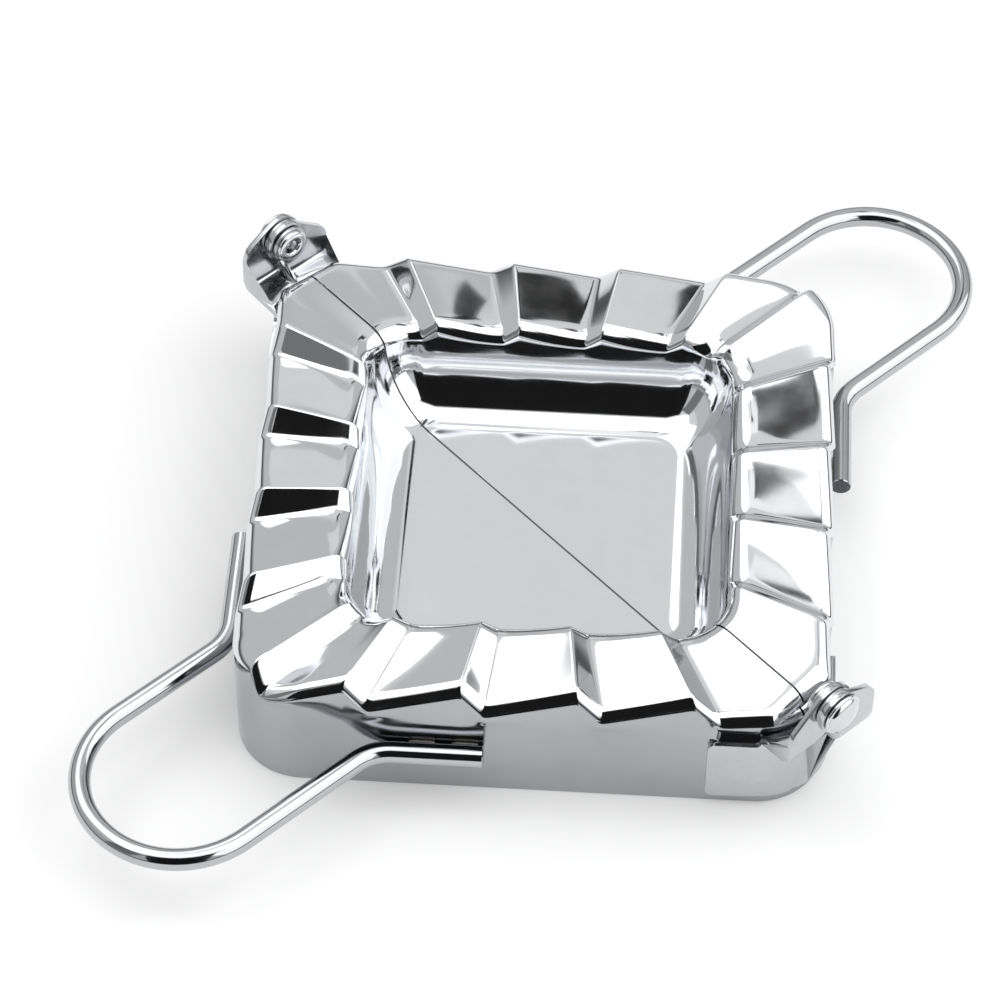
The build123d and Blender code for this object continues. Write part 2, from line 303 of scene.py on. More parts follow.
def plateProfile(s):
    # Rows of the sheet from the outer edge to the dish floor: (half, height) on the upper side,
    # the same on the underside, and how much of the pleats' rise the row takes.
    rows = []
    top = s["middle"]
    rollRows, rimRows, lipRows, wallRows, floorShares = s["rows"].values()

    def fadedLift(height):
        fade = max(0, 1 - (top - height) / s["waveDepth"])
        return s["lipLift"] * fade * fade * (3 - 2 * fade)

    def addArc(centre, wide, deep, thick, start, end, count, liftAt=fadedLift):
        # Part of an ellipse; thick goes from the upper side's radii to the underside's.
        for i in range(count):
            angle = radians(start + (end - start) * i / count)
            upper, under = (
                (centre[0] + (wide + t) * cos(angle), centre[1] + (deep + t) * sin(angle))
                for t in (0, thick)
            )
            rows.append((upper, under, liftAt(upper[1])))

    # The outer edge is rolled down over part of a quarter turn.
    wide, deep = s["rollWidth"], s["rollDepth"]
    rollStart = s["outerHalf"] + s["rollOut"] - wide * cos(radians(s["rollTurn"]))
    addArc((rollStart, top - deep), wide, deep, -sheet, s["rollTurn"], 90, rollRows, lambda height: 1)
    # The dish wall is a quarter of an ellipse, entered over a rounded lip. The pleats die out there.
    wide, deep = s["innerHalf"] - s["floorHalf"], top - s["floorTop"]
    lipEnd = s["floorHalf"] + wide * cos(radians(s["lipTurn"]))
    lipDrop = deep * sin(radians(s["lipTurn"]))
    lipTop = s["innerHalf"] + s["lipRound"]
    for i in range(rimRows):
        share = i / rimRows
        half = rollStart + (lipTop - rollStart) * share
        rows.append(((half, top), (half, top - sheet), 1 + (s["lipLift"] - 1) * share))
    addArc((lipTop, top - lipDrop), lipTop - lipEnd, lipDrop, -sheet, 90, 180, lipRows)
    addArc((s["floorHalf"], top), wide, deep, sheet, -s["lipTurn"], -90, wallRows)
    for share in floorShares:
        half = s["floorHalf"] * share
        rows.append(((half, s["floorTop"]), (half, s["floorTop"] - sheet), 0))
    return rows


def plateColumns(s):
    # Columns round the half square: (outer travel, inner travel, phase at the start and the end of
    # the face, place on the face, bow). The phase grows by one for each pleat: a whole number is a
    # crest, and the valley comes after the short steep face.
    drop = s["dropRun"] / s["pitch"]
    share = s["innerShare"]
    first = -s["pitch"] * (s["pleats"] - 1) / 2 - s["shift"]
    alongs = [first + s["pitch"] * i for i in range(s["pleats"])]
    stations = [
        (along + side * s["outerHalf"], along * share + side * s["innerHalf"])
        for side in (-1, 1) for along in alongs
    ]
    stations.insert(len(alongs), (0, 0))
    columns = []
    chance = random.Random(s["seed"])

    def face(start, end, phases, count, bow=0):
        for i in range(count):
            t = (1 - cos(pi * i / count)) / 2
            travels = [start[k] + (end[k] - start[k]) * t for k in (0, 1)]
            columns.append((*travels, *phases, t, bow))

    splitStart = (-2 * s["outerHalf"], -2 * s["innerHalf"])
    splitEnd = (2 * s["outerHalf"], 2 * s["innerHalf"])
    level = drop + (1 - drop) / 2  # the phase at which a broad face is at mid height
    steps = s["columns"]
    face(splitStart, stations[0], (level, 1), steps["end"], s["endBow"])
    for i, crest in enumerate(stations):
        valley = (crest[0] + s["dropRun"], crest[1] + s["dropRun"] * share)
        face(crest, valley, (i + 1, i + 1 + drop), steps["steep"])
        if i + 1 < len(stations):
            bow = s["bow"] + s["bowSpread"] * chance.uniform(-1, 1)
            face(valley, stations[i + 1], (i + 1 + drop, i + 2), steps["broad"], bow)
        else:
            face(valley, splitEnd, (i + 1 + drop, i + 1 + level), steps["end"], s["endBow"])
            columns.append((*splitEnd, i + 1 + drop, i + 1 + level, 1, 0))
    return columns


def phaseAt(column, inward):
    # A broad face is flat at the outer edge and hollow at the dish: inward goes from 0 to 1.
    _, _, start, end, t, bow = column
    bow *= inward
    return start + (end - start) * ((1 - bow) * t + bow * t * t)


def pleatedMesh(name, told, faces, sign):
    # Of each point is told: (place, height, where it lies along the pleats, its share of their rise,
    # its way out). The mesh keeps the last three for the tree that presses the pleats.
    points = [(sign * t[0].x, sign * t[0].y, t[1]) for t in told]
    spreads = [v for t in told for v in (sign * t[4].x, sign * t[4].y, 0)]
    mesh = makeMesh(name, points, faces, creases["sheet"])
    kept = mesh.attributes
    kept.new("phase", "FLOAT", "POINT").data.foreach_set("value", [t[2] for t in told])
    kept.new("lift", "FLOAT", "POINT").data.foreach_set("value", [t[3] for t in told])
    kept.new("spread", "FLOAT_VECTOR", "POINT").data.foreach_set("vector", spreads)
    return mesh


def tellHaze(mesh, s):
    # The wheel doesn't reach the dish floor, so it keeps more haze than the faces.
    lowest = min(v.co.z for v in mesh.vertices)
    values = [max(0, 1 - (v.co.z - lowest) / (s["hazeDepth"] * mm)) for v in mesh.vertices]
    mesh.attributes.new("haze", "FLOAT", "POINT").data.foreach_set("value", values)


def plateMesh(name, s, sign):
    rows = plateProfile(s)
    columns = plateColumns(s)
    told = []

    def place(column, half):
        outer = ringPoint(column[0], s["outerHalf"], s["outerCorner"])
        reach = outer.dot(splitAlong)
        if abs(reach) > s["hingeCut"]:
            outer -= splitAlong * (reach - s["hingeCut"] * (1 if reach > 0 else -1))
        inner = ringPoint(column[1], s["innerHalf"], s["innerCorner"])
        if half > s["innerHalf"]:
            share = (half - s["innerHalf"]) / (s["outerHalf"] - s["innerHalf"])
            point = inner.lerp(outer, share)
            return keepOffSplit(point), (outer - inner).normalized() * min(share, 1)
        if half > s["floorHalf"]:
            span = s["innerHalf"] - s["floorHalf"]
            spread = s["innerCorner"] - s["floorCorner"]
            corner = s["floorCorner"] + spread * (half - s["floorHalf"]) / span
        else:
            corner = s["floorCorner"] * half / s["floorHalf"]
        point = ringPoint(column[1] * half / s["innerHalf"], half, corner)
        return keepOffSplit(point), Vector((0, 0, 0))

    for column in columns:
        for side in (0, 1):
            for row in rows:
                half, height = row[side]
                point, spread = place(column, half)
                inward = (s["outerHalf"] - half) / (s["outerHalf"] - s["innerHalf"])
                phase = phaseAt(column, min(1, max(0, inward)))
                told.append((point, height, phase, row[2], spread))
    pole = keepOffSplit(Vector((0, 0, 0)))
    for height in (s["floorTop"], s["floorTop"] - sheet):
        told.append((pole, height, 0, 0, Vector((0, 0, 0))))
    count = len(rows)
    step = 2 * count
    upperPole, underPole = len(told) - 2, len(told) - 1
    faces = []
    for c in range(len(columns) - 1):
        here, there = c * step, (c + 1) * step
        for r in range(count - 1):
            faces.append((here + r, there + r, there + r + 1, here + r + 1))
            under, underThere = here + count + r, there + count + r
            faces.append((under, under + 1, underThere + 1, underThere))
        faces.append((here + count - 1, there + count - 1, upperPole))
        faces.append((here + step - 1, underPole, there + step - 1))
        faces.append((here, here + count, there + count, there))
    last = (len(columns) - 1) * step
    for start, flip in ((0, False), (last, True)):
        under = start + count
        cap = [(start + r, start + r + 1, under + r + 1, under + r) for r in range(count - 1)]
        cap.append((under - 1, upperPole, underPole, start + step - 1))
        faces += [f[::-1] for f in cap] if flip else cap
    return pleatedMesh(name, told, faces, sign)


def pleatTree(name, finish):
    # Presses the pleats: a sawtooth with rounded crests and valleys, by the phase of each point.
    tree, values = newTree(name, "Rise", "Drop Share", "Crest Rounding", "Valley Rounding", "Inset Swing")
    for told, kind in (("phase", "FLOAT"), ("lift", "FLOAT"), ("spread", "FLOAT_VECTOR")):
        settings = {"data_type": kind, "Name": told}
        values[told] = addNode(tree, "GeometryNodeInputNamedAttribute", settings)
    # Turn goes from 0 at a crest to 1 at the next. The level is 1 on a crest and -1 in a valley.
    # Before and after are the lines on the far side of the two crests, which round them off.
    addChain(tree, values, (
        ("turn", "FRACT", "phase"),
        ("double", "MULTIPLY", "turn", 2),
        ("broad", "SUBTRACT", 1, "Drop Share"),
        ("fallen", "DIVIDE", "double", "Drop Share"),
        ("fall", "SUBTRACT", 1, "fallen"),
        ("pastValley", "SUBTRACT", "turn", "Drop Share"),
        ("doublePast", "MULTIPLY", "pastValley", 2),
        ("risen", "DIVIDE", "doublePast", "broad"),
        ("rise", "SUBTRACT", "risen", 1),
        ("climb", "DIVIDE", "double", "broad"),
        ("before", "ADD", "climb", 1),
        ("toCrest", "SUBTRACT", "turn", 1),
        ("doubleTo", "MULTIPLY", "toCrest", 2),
        ("drop", "DIVIDE", "doubleTo", "Drop Share"),
        ("after", "SUBTRACT", 1, "drop"),
        ("valley", "SMOOTH_MAX", "fall", "rise", "Valley Rounding"),
        ("crest", "MINIMUM", "before", "after"),
        ("level", "SMOOTH_MIN", "valley", "crest", "Crest Rounding"),
        ("shownLevel", "MULTIPLY", "level", "lift"),
        ("halfRise", "MULTIPLY", "Rise", 0.5),
        ("height", "MULTIPLY", "shownLevel", "halfRise"),
        ("swing", "MULTIPLY", "level", "Inset Swing"),
        ("inset", "MULTIPLY", "swing", -1),
    ))
    upward = addNode(tree, "ShaderNodeCombineXYZ", links={"Z": values["height"]})
    inward = addNode(
        tree, "ShaderNodeVectorMath", {"operation": "SCALE"},
        {0: values["spread"], "Scale": values["inset"]},
    )
    offset = addNode(tree, "ShaderNodeVectorMath", {"operation": "ADD"}, {0: upward, 1: inward})
    links = {"Geometry": values["Geometry"], "Offset": offset}
    pressed = addNode(tree, "GeometryNodeSetPosition", links=links)
    endTree(tree, pressed, finish)
    return tree


pleatInputs = {
    "Rise": plateSizes["rise"] * mm,
    "Drop Share": plateSizes["dropRun"] / plateSizes["pitch"],
    "Crest Rounding": plateSizes["crestRound"],
    "Valley Rounding": plateSizes["valleyRound"],
    "Inset Swing": plateSizes["insetSwing"] * mm,
}
plateTree = pleatTree("pressPleats", metals["mirrorPolishedStainless"])
for half, sign in halves.items():
    plate = addObject("pressPlate_" + half, plateMesh("pressPlate", plateSizes, sign))
    runTree(plate, plateTree, pleatInputs)
    tellHaze(plate.data, plateSizes)
    finishPiece(plate, half, "press_plate_" + half)
print("press plates made")


# Cutter skirts: bent strip whose top edge is trimmed to the pleats, with a flange under the plate

skirtSizes = {
    "half": 40.0, "corner": 9.5, "bend": 2.2, "flangeTop": 16.9, "flangeEnd": 4.5, "edgeRound": 0.15,
    "trimFrom": 13.4, "trimTop": 17.3, "tuck": 0.4, "trimWidth": 0.6, "foldDrop": 0.4, "foldLift": 0.3,
    "slope": 37, "slopeStart": 13.0, "slopeTop": 15.9,   # shoulder at the hinges: degrees, heights
    "slopeFrom": (44.4, 45.8),                           # out along the split: its start, and whole
    "steps": {"wall": 4, "trim": 8, "bend": 5},
}


def skirtProfile(s, atHinge):
    # Closed outline of the strip: (how far in from the outside, height, share of the pleats' rise).
    # It ends under the pleats, or at the hinges in a sloping shoulder.
    e = s["edgeRound"]
    inner = s["bend"] - sheet
    start = s["slopeStart"] if atHinge else s["trimFrom"]
    wallSteps, trimSteps, bendSteps = s["steps"].values()
    outline = [(e, 0, 0), (0, e, 0)]
    outline += [(0, start * i / wallSteps, 0) for i in range(1, wallSteps + 1)]
    for i in range(1, trimSteps + 1):
        share = i / trimSteps
        if atHinge:
            height = start + (s["slopeTop"] - start) * share
            outline.append(((height - start) * tan(radians(s["slope"])), height, 0))
        else:
            height = start + (s["trimTop"] - e - start) * share
            outline.append((s["tuck"] * share ** 3, height, share * share * (3 - 2 * share)))
    edgeEnd = s["tuck"] + s["trimWidth"]
    edge = [
        (s["tuck"] + e, s["trimTop"], 1), (edgeEnd - e, s["trimTop"], 1), (edgeEnd, s["trimTop"] - e, 1),
        (edgeEnd + 2 * e, s["flangeTop"] - s["foldDrop"], s["foldLift"]), (s["bend"], s["flangeTop"], 0),
    ]
    if atHinge:
        # The shoulder's end has as many points, on a last short slope.
        inset, height, _ = outline[-1]
        rise = e / (len(edge) + 1)
        edge = [(inset + (i + 1) * e, height + i * rise, 0) for i in range(len(edge))]
    outline += edge
    outline += [(s["flangeEnd"] - e, s["flangeTop"], 0), (s["flangeEnd"], s["flangeTop"] - e, 0)]
    outline.append((s["flangeEnd"], s["flangeTop"] - sheet, 0))
    for i in range(bendSteps, -1, -1):
        angle = radians(90 * i / bendSteps)
        height = s["flangeTop"] - s["bend"] + inner * sin(angle)
        outline.append((s["bend"] - inner * cos(angle), height, 0))
    return outline + [(sheet, s["trimFrom"] / 2, 0), (sheet, e, 0), (sheet - e, 0, 0)]


def skirtMesh(name, s, plate, sign):
    # Sweeps the outline round the half square, in step with the plate's pleats.
    told, faces = [], []
    trimmed, rounded = skirtProfile(s, False), skirtProfile(s, True)
    straight = s["half"] - s["corner"]
    for column in plateColumns(plate):
        travel = column[0]
        side = -1 if travel < 0 else 1
        along = travel - side * plate["outerHalf"]
        turned = max(0, abs(along) - straight) / plate["outerCorner"]  # share of the corner's turn
        outward = 1 if along > 0 else -1
        outAlong = abs(ringPoint(travel, s["half"], s["corner"]).dot(splitAlong))
        low, high = s["slopeFrom"]
        share = min(1, max(0, (outAlong - low) / (high - low)))
        for row, hingeRow in zip(trimmed, rounded):
            inset, height, lift = (a + (b - a) * share for a, b in zip(row, hingeRow))
            ring = s["half"] - inset
            corner = s["corner"] - inset
            reach = (straight + turned * corner) * outward if turned else along
            point = ringPoint(side * ring + reach, ring, corner)
            # The way out is told by the same place on a ring 1 mm further in.
            within = ringPoint(side * (ring - 1) + reach - outward * turned, ring - 1, corner - 1)
            away = (point - within).normalized() * lift
            told.append((keepOffSplit(point), height, phaseAt(column, 0), lift, away))
    count = len(trimmed)
    rings = len(told) // count
    for c in range(rings - 1):
        here, there = c * count, (c + 1) * count
        for r in range(count):
            k = (r + 1) % count
            faces.append((here + r, there + r, there + k, here + k))
    last = (rings - 1) * count
    faces.append(tuple(range(count)))
    faces.append(tuple(last + r for r in reversed(range(count))))
    return pleatedMesh(name, told, faces, sign)


skirtTree = pleatTree("trimToPleats", metals["coldRolledStainlessStrip"])
for half, sign in halves.items():
    skirt = addObject("cutterSkirt_" + half, skirtMesh("cutterSkirt", skirtSizes, plateSizes, sign))
    runTree(skirt, skirtTree, pleatInputs)
    finishPiece(skirt, half, "cutter_skirt_" + half)
print("cutter skirts made")


# Handle loops of round wire

handleSizes = {
    "diameter": 3.0, "height": 9.2, "line": 41.62, "halfWidth": 13.45, "bend": 7.0, "loop": 13.4,
    "reach": {"a": 79.23, "b": 80.63}, "shift": {"a": 1.3, "b": 2.2},
    "frontEnd": {"a": 5.8, "b": 5.8}, "sideEnd": {"a": 6.0, "b": 8.9}, "chamfer": 0.12,
    "step": 0.7, "sides": 32,
}


def handlePath(s, half):
    # Straight runs joined by arcs, from the leg on the side wall round the loop to the front one.
    line, height = s["line"], s["height"]
    edges = [s["shift"][half] - s["halfWidth"], s["shift"][half] + s["halfWidth"]]
    far = [splitAlong * e - splitAcross * s["reach"][half] for e in edges]
    corners = [
        Vector((-line, -s["sideEnd"][half], 0)), Vector((-line, -line - sqrt(2) * edges[0], 0)),
        far[0], far[1],
        Vector((-line + sqrt(2) * edges[1], -line, 0)), Vector((-s["frontEnd"][half], -line, 0)),
    ]
    path = [corners[0]]
    for before, corner, after, radius in zip(
        corners, corners[1:], corners[2:], (s["bend"], s["loop"], s["loop"], s["bend"])
    ):
        back = (before - corner).normalized()
        ahead = (after - corner).normalized()
        opening = back.angle(ahead) / 2
        centre = corner + (back + ahead).normalized() * radius / sin(opening)
        start = corner + back * radius / tan(opening) - centre
        turn = pi - 2 * opening
        spin = 1 if back.cross(ahead).z < 0 else -1
        steps = round(turn * radius / s["step"])
        for i in range(steps + 1):
            path.append(centre + Matrix.Rotation(spin * turn * i / steps, 3, "Z") @ start)
    path.append(corners[-1])
    return [Vector((p.x, p.y, height)) for p in path]


def wireTree(s, finish):
    tree, values = newTree("drawWire", "Diameter")
    curve = addNode(tree, "GeometryNodeMeshToCurve", links={"Mesh": values["Geometry"]})
    upright = addNode(tree, "GeometryNodeSetCurveNormal", {"mode": "Z_UP"}, {"Curve": curve})
    settings = {"data_type": "FLOAT", "Name": "thickness"}
    thick = addNode(tree, "GeometryNodeInputNamedAttribute", settings)
    addChain(tree, values, (("radius", "MULTIPLY", "Diameter", 0.5),))
    settings = {"Resolution": s["sides"]}
    circle = addNode(tree, "GeometryNodeCurvePrimitiveCircle", settings, {"Radius": values["radius"]})
    wire = addNode(
        tree, "GeometryNodeCurveToMesh", {"Fill Caps": True},
        {"Curve": upright, "Profile Curve": circle, "Scale": thick},
    )
    endTree(tree, wire, finish)
    return tree


wireGrower = wireTree(handleSizes, metals["coldDrawnStainlessWire"])
wireInputs = {"Diameter": handleSizes["diameter"] * mm}
for half, sign in halves.items():
    path = handlePath(handleSizes, half)
    # Both ends are broken slightly where the wire was cut.
    bevel = handleSizes["chamfer"]
    for end, inner in ((0, 1), (-1, -2)):
        direction = (path[inner] - path[end]).normalized()
        path.insert(inner if end == 0 else len(path) - 1, path[end] + direction * bevel)
    points = [(sign * p.x, sign * p.y, p.z) for p in path]
    mesh = lineMesh("handleWire", points, [(i, i + 1) for i in range(len(path) - 1)])
    slim = 1 - 2 * bevel / handleSizes["diameter"]
    thickness = [slim] + [1.0] * (len(path) - 2) + [slim]
    mesh.attributes.new("thickness", "FLOAT", "POINT").data.foreach_set("value", thickness)
    wire = runTree(addObject("handleWire_" + half, mesh), wireGrower, wireInputs)
    wire.data.materials.append(metals["shearedWireEnd"])
    for polygon in wire.data.polygons:
        if polygon.loop_total > 4:
            polygon.material_index = len(wire.data.materials) - 1
    finishPiece(wire, half, "handle_wire_" + half)
print("handle wires made")


# Weld beads between the legs of the handles and the wall

beadSizes = {
    "length": 3.6, "along": (0.7, 2.3),     # the middles of the beads on a leg, in lengths from its end
    "lower": {"inset": 0.45, "below": 1.2, "radius": 0.62},
    "upper": {"inset": 0.25, "below": -0.75, "radius": 0.35},
    "ripple": 0.55, "rippleShare": 0.16, "unevenShare": 0.35, "unevenScale": 700, "seed": 3,
    "step": 0.11, "sides": 14,
    "endPower": 4, "endLeft": 0.02,         # how late a bead tapers off, and what is left of it there
}


def beadTree(s, finish):
    # Lays a bead along each line: ripples where the metal set, ends that taper off.
    tree, values = newTree("layWeldBead", "Radius", "Ripple", "Ripple Share", "Uneven Share", "Seed")
    line = addNode(tree, "GeometryNodeMeshToCurve", links={"Mesh": values["Geometry"]})
    settings = {"mode": "LENGTH", "Length": s["step"] * mm}
    fine = addNode(tree, "GeometryNodeResampleCurve", settings, {"Curve": line})
    values.update(addNode(tree, "GeometryNodeSplineParameter").outputs.items())
    values["noise"] = addNode(
        tree, "ShaderNodeTexNoise",
        {"noise_dimensions": "4D", "Scale": s["unevenScale"], "Detail": 1.0}, {"W": values["Seed"]},
    )
    addChain(tree, values, (
        ("ripples", "DIVIDE", "Length", "Ripple"),
        ("turn", "MULTIPLY", "ripples", pi),
        ("wave", "SINE", "turn"),
        ("ripple", "ABSOLUTE", "wave"),
        ("double", "MULTIPLY", "Factor", 2),
        ("side", "SUBTRACT", "double", 1),
        ("fromMiddle", "ABSOLUTE", "side"),
        ("ending", "POWER", "fromMiddle", s["endPower"]),
        ("rest", "SUBTRACT", 1 + s["endLeft"], "ending"),
        ("taper", "POWER", "rest", 0.5),
        ("centred", "SUBTRACT", "noise", 0.5),
        ("uneven", "MULTIPLY", "centred", "Uneven Share"),
        ("swell", "ADD", "uneven", 1),
        ("dip", "SUBTRACT", 1, "ripple"),
        ("shownDip", "MULTIPLY", "Ripple Share", "dip"),
        ("rippled", "SUBTRACT", "swell", "shownDip"),
        ("scale", "MULTIPLY", "rippled", "taper"),
    ))
    settings = {"Resolution": s["sides"]}
    circle = addNode(tree, "GeometryNodeCurvePrimitiveCircle", settings, {"Radius": values["Radius"]})
    bead = addNode(
        tree, "GeometryNodeCurveToMesh", {"Fill Caps": True},
        {"Curve": fine, "Profile Curve": circle, "Scale": values["scale"]},
    )
    endTree(tree, bead, finish)
    return tree


def joinPieces(name, meshes):
    # One plain mesh out of several that share a finish.
    made = bmesh.new()
    for mesh in meshes:
        made.from_mesh(mesh)
    joined = bpy.data.meshes.new(name)
    for material in meshes[0].materials:
        joined.materials.append(material)
    made.to_mesh(joined)
    made.free()
    smoothOver(joined, creases["weld"])
    return joined


# The beads' dark grey is painted shade for the groove between each leg and the wall.
beadLayer = beadTree(beadSizes, metals["heatTintAndShadeWeldMetal"])
for half, sign in halves.items():
    beads = []
    for rank, row in enumerate(("lower", "upper")):
        bead = beadSizes[row]
        off = sign * (-skirtSizes["half"] - bead["inset"])
        height = handleSizes["height"] - bead["below"]
        points = []
        for middle in beadSizes["along"]:
            for leg in ("frontEnd", "sideEnd"):
                for end in (-0.5, 0.5):
                    along = sign * (-handleSizes[leg][half] - (middle + end) * beadSizes["length"])
                    x, y = (along, off) if leg == "frontEnd" else (off, along)
                    points.append((x, y, height))
        mesh = lineMesh("beadLines", points, [(i, i + 1) for i in range(0, len(points), 2)])
        beadInputs = {
            "Radius": bead["radius"] * mm, "Ripple": beadSizes["ripple"] * mm,
            "Ripple Share": beadSizes["rippleShare"], "Uneven Share": beadSizes["unevenShare"],
            "Seed": beadSizes["seed"] + rank,
        }
        guide = addObject("beadGuide", mesh)
        beads.append(runTree(guide, beadLayer, beadInputs).data)
        bpy.data.objects.remove(guide)
    welds = addObject("handleWelds_" + half, joinPieces("handleWelds", beads))
    finishPiece(welds, half, "handle_welds_" + half)
print("weld beads made")


# Hinge lugs: flat blanks wrapped round the corners of the skirt, each with a shelf and an ear

lugSizes = {
    "start": 24.0, "bottom": 2.2, "top": 13.1, "cornerRadius": 1.0,    # the plate on the wall
    "shelfFrom": 13.9, "shelfBend": 1.25, "shelfBlank": 6.0,           # two bends and the run between
    "pivotHeight": 22.0, "eye": 3.3, "hole": 1.55, "shoulderRadius": 3.4, "neck": 17.2, "neckTurn": -72,
    "ears": {
        "inner": {"line": 55.8, "shoulder": (-3.9, 18.6), "edge": 0.2},
        "outer": {"line": 57.4, "shoulder": (-3.0, 20.4), "edge": -0.35},
    },
    "mesh": 0.55, "nearest": 0.5, "holeSides": 36, "edgeRound": 0.16,
}


def arcPoints(centre, radius, start, end, steps):
    turns = [radians(start + (end - start) * i / steps) for i in range(steps + 1)]
    return [(centre[0] + radius * cos(t), centre[1] + radius * sin(t)) for t in turns]


def lugOutline(s, ear):
    # The blank in the flat: across from the middle of the corner, and up along the sheet.
    wrap = skirtSizes["corner"] + sheet / 2
    left = -wrap * pi / 4 - (skirtSizes["half"] - skirtSizes["corner"] - s["start"])
    lift = s["shelfBlank"] - 2 * s["shelfBend"]  # how much higher the ear lies in the flat
    r, e = s["cornerRadius"], s["edgeRound"]
    pivot = (0, s["pivotHeight"] + lift)
    shoulder = (ear["shoulder"][0], ear["shoulder"][1] + lift)
    apart = Vector(shoulder) - Vector(pivot)
    # The shoulder's arc runs into the eye's along their common tangent.
    between = acos((s["shoulderRadius"] - s["eye"]) / apart.length)
    tangent = 360 + degrees(atan2(apart.y, apart.x) - between)
    side = shoulder[0] - s["shoulderRadius"]
    outline = arcPoints((left + r, s["bottom"] + r), r, 180, 270, 5)
    outline += arcPoints((ear["edge"] - e, s["bottom"] + e), e, 270, 360, 2)
    outline.append((ear["edge"], s["neck"] + lift))
    outline += arcPoints(pivot, s["eye"], s["neckTurn"], tangent, 34)
    outline += arcPoints(shoulder, s["shoulderRadius"], tangent, 180, 8)[1:]
    outline += arcPoints((side - r, s["top"] + r), r, 360, 270, 5)
    return outline + arcPoints((left + r, s["top"] - r), r, 90, 180, 5), pivot


def meshBlank(outline, pivot, s):
    # Fills the outline with small triangles and leaves the hole of the rivet open.
    sides = s["holeSides"]
    hole = arcPoints(pivot, s["hole"], 0, 360 - 360 / sides, sides - 1)
    points = [Vector(p) for p in outline + hole]
    count = len(outline)
    edges = [(i, (i + 1) % count) for i in range(count)]
    edges += [(count + i, count + (i + 1) % len(hole)) for i in range(len(hole))]
    across = [p.x for p in points]
    up = [p.y for p in points]
    border = list(points)
    step, left, low = s["mesh"], min(across), min(up)
    for column in range(int((max(across) - left) / step)):
        for row in range(int((max(up) - low) / step)):
            shift = 0.5 * (row % 2)
            point = Vector((left + (column + 0.5 + shift) * step, low + (row + 0.5) * step))
            if min((point - b).length for b in border) > s["nearest"] * step:
                points.append(point)
    loops, insideOnly, mergeWithin = [list(range(count))], 1, 1e-4
    points, _, faces, _, _, _ = delaunay_2d_cdt(points, edges, loops, insideOnly, mergeWithin)
    centres = [sum((points[i] for i in f), Vector((0, 0))) / len(f) for f in faces]
    middle = Vector(pivot)
    return points, [f for f, c in zip(faces, centres) if (c - middle).length > s["hole"]]


def bendLug(point, s, ear):
    # From the flat blank to (out along the split, across it, up).
    across, up = point
    half, corner = skirtSizes["half"], skirtSizes["corner"]
    wrap = corner + sheet / 2
    middle = (half - corner) * sqrt(2)
    if across > -wrap * pi / 4:
        wall = Vector((middle + wrap * cos(across / wrap), wrap * sin(across / wrap)))
    else:
        x = half - corner - (-wrap * pi / 4 - across)
        y = -half - sheet / 2
        wall = Vector(((x - y) / sqrt(2), (x + y) / sqrt(2)))
    eye = Vector((ear["line"], across))
    reach = ear["line"] - wall.x
    bend = s["shelfBend"]
    level = reach - 2 * bend
    if up <= s["shelfFrom"]:
        return Vector((*wall, up))
    if up >= s["shelfFrom"] + s["shelfBlank"]:
        return Vector((*eye, up - s["shelfBlank"] + 2 * bend))
    turn = bend * pi / 2
    way = (up - s["shelfFrom"]) / s["shelfBlank"] * (2 * turn + level)
    if way < turn:
        out, height = bend * (1 - cos(way / bend)), bend * sin(way / bend)
    elif way < turn + level:
        out, height = bend + way - turn, bend
    else:
        angle = (way - turn - level) / bend
        out, height = reach - bend + bend * sin(angle), bend + bend * (1 - cos(angle))
    return Vector((*wall.lerp(eye, out / reach), s["shelfFrom"] + height))


def turnOutwards(mesh):
    made = bmesh.new()
    made.from_mesh(mesh)
    bmesh.ops.recalc_face_normals(made, faces=made.faces)
    made.to_mesh(mesh)
    made.free()


def makeLug(name, s, ear, place):
    outline, pivot = lugOutline(s, ear)
    points, faces = meshBlank(outline, pivot, s)
    bent = [place(bendLug(p, s, ear)) for p in points]
    lug = addObject(name, makeMesh(name, bent, faces, creases["sheet"]))
    thicken = lug.modifiers.new("thicken", "SOLIDIFY")
    thicken.thickness = sheet * mm
    thicken.offset = 0
    soften = lug.modifiers.new("soften", "BEVEL")
    soften.width = s["edgeRound"] * mm
    soften.segments = 2
    soften.limit_method = "ANGLE"
    soften.angle_limit = radians(60)
    mesh = evaluatedMesh(lug)
    lug.modifiers.clear()
    lug.data = mesh
    turnOutwards(mesh)
    smoothOver(mesh, creases["stamping"])
    mesh.materials.append(metals["tumbledStainlessStamping"])
    return lug


def hingePlacer(way, sign=1):
    # From (out along the split, across it, up) to a point at the right hinge (way 1) or the left one.
    def place(point):
        return sign * (splitAlong * point[0] * way + splitAcross * point[1]) + Vector((0, 0, point[2]))
    return place


sideNames = {1: "right", -1: "left"}
for half, sign in halves.items():
    for way, kind in ((1, "inner"), (-1, "outer")):
        suffix = half + "_" + sideNames[way * sign]
        ear = lugSizes["ears"][kind]
        lug = makeLug("hingeLug_" + suffix, lugSizes, ear, hingePlacer(way, sign))
        finishPiece(lug, half, "hinge_lug_" + suffix)
print("hinge lugs made")


# Rivets and washers, turned about the hinge line

rivetSizes = {
    "headFrom": 57.9, "headThick": 0.55, "headRadius": 3.05, "dome": 0.9, "domeRadius": 2.6,
    "shankRadius": 1.5, "rollFrom": 54.0, "rollRadius": 2.55, "rollRound": 0.42,
    "bore": 1.2, "boreDepth": 1.6, "boreTaper": 0.95, "boreTip": 0.3,
}
washerSizes = {
    "hinge_washer": {"from": 56.3, "thick": 0.6, "radius": 3.0, "edgeRound": 0.12},
    "clinch_washer": {"from": 54.75, "thick": 0.5, "radius": 2.8, "edgeRound": 0.12},
}
turnedSides = 56


